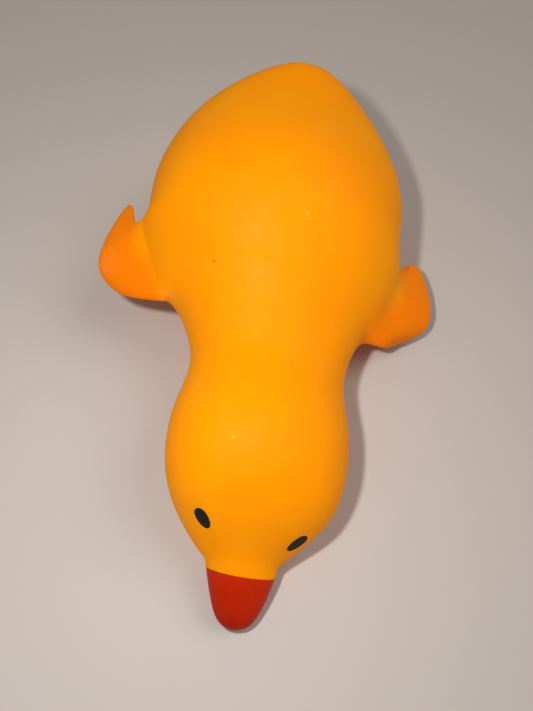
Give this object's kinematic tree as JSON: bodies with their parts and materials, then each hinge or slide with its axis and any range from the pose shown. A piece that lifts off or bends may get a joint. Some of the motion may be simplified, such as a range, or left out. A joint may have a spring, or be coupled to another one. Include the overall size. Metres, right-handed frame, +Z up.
{
  "type": "squishy toy duck",
  "caption": "Soft rubber squeeze toy in the form of a lying duck, with a round body, stubby side wings, printed eyes and a painted beak.",
  "frame": {"origin": "on the table under the middle of the duck's bounding box", "axes": "+Z up from the table, -Y towards the beak, +X towards the duck's left side"},
  "size_m": [0.084, 0.13, 0.0481],
  "materials": {
    "soft_rubber": "satin orange-yellow soft rubber; the beak is painted red and the eyes are printed black"
  },
  "bodies": {
    "root": {"duck_body": "soft_rubber"}
  },
  "joints": []
}
